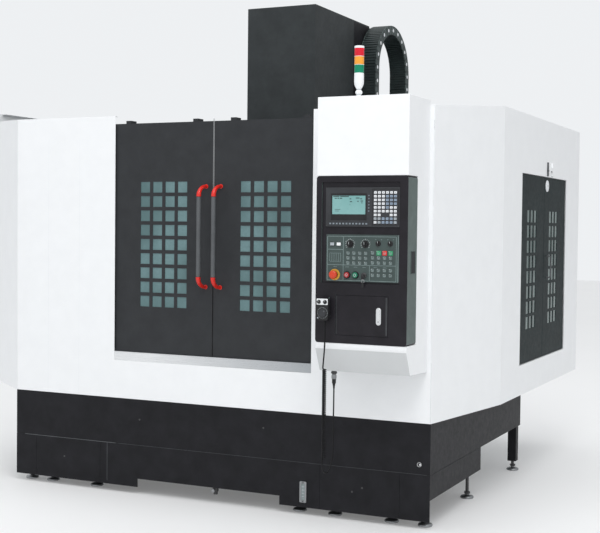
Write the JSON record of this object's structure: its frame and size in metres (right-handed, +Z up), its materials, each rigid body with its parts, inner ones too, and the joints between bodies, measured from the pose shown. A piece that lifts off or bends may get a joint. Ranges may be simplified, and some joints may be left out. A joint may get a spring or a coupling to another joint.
{
  "type": "cnc machining center",
  "caption": "Enclosed vertical machining center with sliding front doors, moving table and head, control pod, side service doors and signal tower.",
  "frame": {"origin": "on the floor, under the middle of the machine's outer box", "axes": "+Z up, +Y from the front doors to the back, +X to the operator's right"},
  "size_m": [3.187, 3.211, 2.9572],
  "materials": {
    "cast": "machine-green enamel on cast iron",
    "ways": "ground steel",
    "white_sheet": "off-white textured powder coat on folded sheet",
    "black_sheet": "black textured powder coat",
    "door_sheet": "charcoal powder coat",
    "tank_sheet": "black powder coat",
    "pan_sheet": "grey enamel on sheet",
    "sill_steel": "brushed stainless sheet",
    "fitting": "die-cast and glass gauge",
    "foot_steel": "blackened steel",
    "pane": "tinted safety glass",
    "grip_grey": "grey plastic sleeve",
    "bracket_red": "red moulded plastic",
    "handle_black": "black moulded plastic",
    "table_iron": "milled cast iron",
    "spindle_steel": "ground steel",
    "magazine_steel": "grey enamel",
    "carousel_alu": "machined aluminium",
    "housing_black": "black textured powder coat",
    "bezel_grey": "dark grey moulded plastic with light keys",
    "screen_glass": "lit display behind glass",
    "plate_green": "grey-green overlay on sheet",
    "estop_red": "red moulded plastic",
    "button_red": "red moulded plastic",
    "button_green": "green moulded plastic",
    "knob_black": "black moulded plastic",
    "flap_black": "black textured powder coat",
    "latch_chrome": "polished zinc",
    "handset_plastic": "black moulded plastic with a light face",
    "dial_black": "black moulded plastic",
    "cord_black": "black rubber sheath",
    "connector_metal": "nickel-plated metal",
    "tower_white": "white moulded plastic",
    "lens_r": "translucent red plastic",
    "lens_a": "translucent amber plastic",
    "lens_g": "translucent green plastic",
    "chain_black": "black glass-filled nylon"
  },
  "bodies": {
    "machine": {"bed": "cast", "column": "cast", "fixed_ways": "ways", "base_skirt": "black_sheet", "coolant_tank": "tank_sheet", "tank_fittings": "fitting", "levelling_feet": "foot_steel", "base_pan": "pan_sheet", "front_frame": "white_sheet", "door_sill": "sill_steel", "door_rail": "black_sheet", "right_wing": "white_sheet", "left_wing": "white_sheet", "right_side": "white_sheet", "left_side": "white_sheet", "rear_panel": "white_sheet", "magazine_beam": "magazine_steel", "pod_body": "white_sheet", "panel_housing": "housing_black", "screen_unit": "bezel_grey", "screen": "screen_glass", "operation_plate": "plate_green", "handset": "handset_plastic", "cord_upper": "cord_black", "cord_curly": "cord_black", "cord_return": "cord_black", "connector": "connector_metal", "tower_frame": "tower_white", "lens_red": "lens_r", "lens_amber": "lens_a", "lens_green": "lens_g"},
    "left_door": {"left_door": "door_sheet", "left_window": "pane", "left_grip": "grip_grey", "left_brackets": "bracket_red"},
    "right_door": {"right_door": "door_sheet", "right_window": "pane", "right_grip": "grip_grey", "right_brackets": "bracket_red"},
    "side_leaf_front": {"side_leaf_front": "door_sheet", "side_glass_front": "pane"},
    "side_leaf_rear": {"side_leaf_rear": "door_sheet", "side_glass_rear": "pane", "side_handle": "handle_black"},
    "saddle": {"saddle": "cast"},
    "table": {"table": "table_iron"},
    "head": {"head": "cast", "head_cover": "black_sheet"},
    "spindle": {"spindle": "spindle_steel"},
    "chain": {"cable_chain": "chain_black"},
    "carousel_slide": {"carousel_slide": "magazine_steel"},
    "carousel": {"tool_carousel": "carousel_alu"},
    "estop": {"estop_button": "estop_red"},
    "red_button": {"red_button": "button_red"},
    "green_button": {"green_button": "button_green"},
    "feed_knob": {"feed_knob": "knob_black"},
    "spindle_knob": {"spindle_knob": "knob_black"},
    "flap": {"flap": "flap_black"},
    "flap_latch": {"flap_latch": "latch_chrome"},
    "handset_dial": {"handset_dial": "dial_black"}
  },
  "joints": [
    {"name": "left_door_slide", "type": "slide", "parent": "machine", "child": "left_door", "axis": [-1, 0, 0], "range_m": [0, 0.585]},
    {"name": "right_door_slide", "type": "slide", "parent": "machine", "child": "right_door", "axis": [1, 0, 0], "range_m": [0, 0.555]},
    {"name": "side_leaf_front_hinge", "type": "hinge", "parent": "machine", "child": "side_leaf_front", "pos_m": [1.5505, 0.0325, 1.326], "axis": [0, 0, -1], "range_deg": [0, 90]},
    {"name": "side_leaf_rear_hinge", "type": "hinge", "parent": "machine", "child": "side_leaf_rear", "pos_m": [1.5505, 1.1885, 1.326], "axis": [0, 0, 1], "range_deg": [0, 90]},
    {"name": "saddle_y", "type": "slide", "parent": "machine", "child": "saddle", "axis": [0, 1, 0], "range_m": [-0.285, 0.285]},
    {"name": "table_x", "type": "slide", "parent": "saddle", "child": "table", "axis": [1, 0, 0], "range_m": [-0.5, 0.5]},
    {"name": "head_z", "type": "slide", "parent": "machine", "child": "head", "axis": [0, 0, 1], "range_m": [-0.63, 0]},
    {"name": "chain_follow", "type": "slide", "parent": "machine", "child": "chain", "axis": [0, 0, 1], "range_m": [-0.315, 0]},
    {"name": "spindle_spin", "type": "hinge", "parent": "head", "child": "spindle", "pos_m": [0.1295, -0.1545, 1.78], "axis": [0, 0, 1], "continuous": true},
    {"name": "magazine_slide", "type": "slide", "parent": "machine", "child": "carousel_slide", "axis": [1, 0, 0], "range_m": [0, 0.31]},
    {"name": "carousel_spin", "type": "hinge", "parent": "carousel_slide", "child": "carousel", "pos_m": [-0.4705, -0.1545, 1.712], "axis": [0, 0, 1], "continuous": true},
    {"name": "estop_push", "type": "slide", "parent": "machine", "child": "estop", "axis": [0, 1, 0], "range_m": [0, 0.005], "stiffness_N_per_m": 600},
    {"name": "red_push", "type": "slide", "parent": "machine", "child": "red_button", "axis": [0, 1, 0], "range_m": [0, 0.0025], "stiffness_N_per_m": 400},
    {"name": "green_push", "type": "slide", "parent": "machine", "child": "green_button", "axis": [0, 1, 0], "range_m": [0, 0.0025], "stiffness_N_per_m": 400},
    {"name": "feed_knob_turn", "type": "hinge", "parent": "machine", "child": "feed_knob", "pos_m": [1.1015, -1.5415, 1.487], "axis": [0, -1, 0], "range_deg": [-150, 150]},
    {"name": "spindle_knob_turn", "type": "hinge", "parent": "machine", "child": "spindle_knob", "pos_m": [1.1845, -1.5415, 1.487], "axis": [0, -1, 0], "range_deg": [-150, 150]},
    {"name": "flap_hinge", "type": "hinge", "parent": "machine", "child": "flap", "pos_m": [1.031, -1.542, 1.1275], "axis": [0, 0, -1], "range_deg": [0, 90]},
    {"name": "latch_turn", "type": "hinge", "parent": "flap", "child": "flap_latch", "pos_m": [1.262, -1.5455, 1.127], "axis": [0, -1, 0], "range_deg": [0, 90]},
    {"name": "handset_dial_turn", "type": "hinge", "parent": "machine", "child": "handset_dial", "pos_m": [0.9765, -1.5935, 1.137], "axis": [0, -1, 0], "continuous": true}
  ],
  "couplings": [
    {"joint": "chain_follow", "follows": "head_z", "ratio": 0.5}
  ]
}
